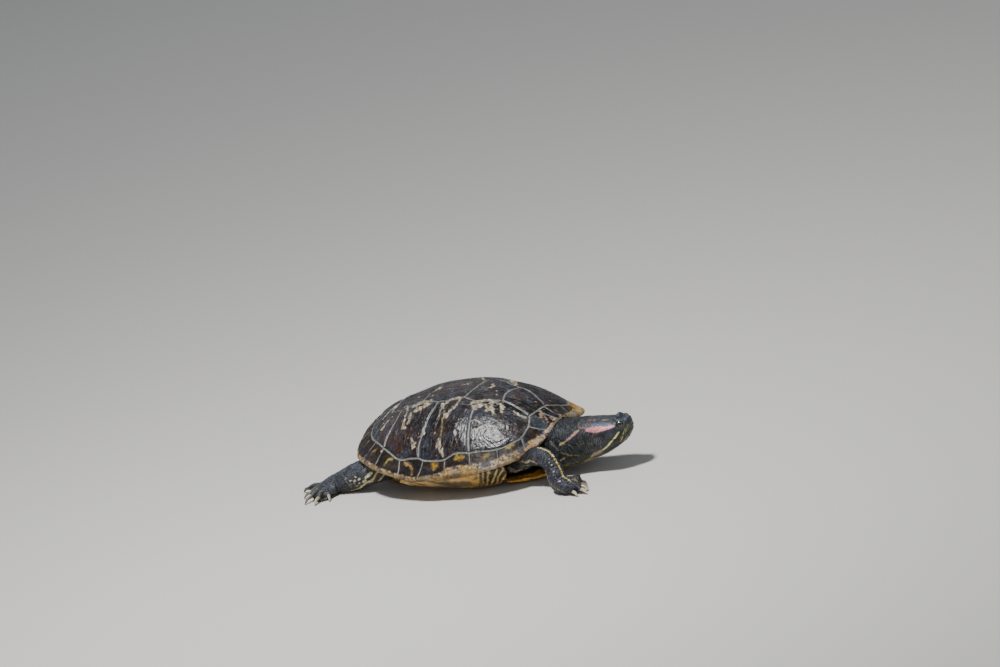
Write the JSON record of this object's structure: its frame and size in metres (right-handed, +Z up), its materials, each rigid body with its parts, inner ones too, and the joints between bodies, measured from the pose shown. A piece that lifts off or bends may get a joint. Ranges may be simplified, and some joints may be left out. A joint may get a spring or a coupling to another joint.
{
  "type": "red-eared slider turtle",
  "caption": "Life-size still turtle at rest: low domed shell, head and neck held out level, legs spread with webbed clawed feet.",
  "frame": {"origin": "centre of the bounding box in plan, on the level that the plastron and the feet rest on", "axes": "+X toward the head along the shell, +Y to the animal's left, +Z up"},
  "size_m": [0.3376, 0.1824, 0.0795],
  "materials": {
    "shell": "wet-looking dark horn with seams, growth rings and worn flakes",
    "plastron": "smooth amber horn with dark blotches",
    "skin": "fine scaled wet skin, dark olive with yellow stripes and a red ear patch",
    "eye": "wet glossy eye",
    "claw": "semi-gloss horn"
  },
  "bodies": {
    "root": {"carapace": "shell", "plastron": "plastron", "trunk": "skin", "neck": "skin", "head": "skin", "eye_right": "eye", "eye_left": "eye", "tail": "skin", "front_right_leg": "skin", "front_right_foot": "skin", "front_right_claw_1": "claw", "front_right_claw_2": "claw", "front_right_claw_3": "claw", "front_right_claw_4": "claw", "front_right_claw_5": "claw", "front_left_leg": "skin", "front_left_foot": "skin", "front_left_claw_1": "claw", "front_left_claw_2": "claw", "front_left_claw_3": "claw", "front_left_claw_4": "claw", "front_left_claw_5": "claw", "hind_right_leg": "skin", "hind_right_foot": "skin", "hind_right_claw_1": "claw", "hind_right_claw_2": "claw", "hind_right_claw_3": "claw", "hind_right_claw_4": "claw", "hind_right_claw_5": "claw", "hind_left_leg": "skin", "hind_left_foot": "skin", "hind_left_claw_1": "claw", "hind_left_claw_2": "claw", "hind_left_claw_3": "claw", "hind_left_claw_4": "claw", "hind_left_claw_5": "claw"}
  },
  "joints": []
}
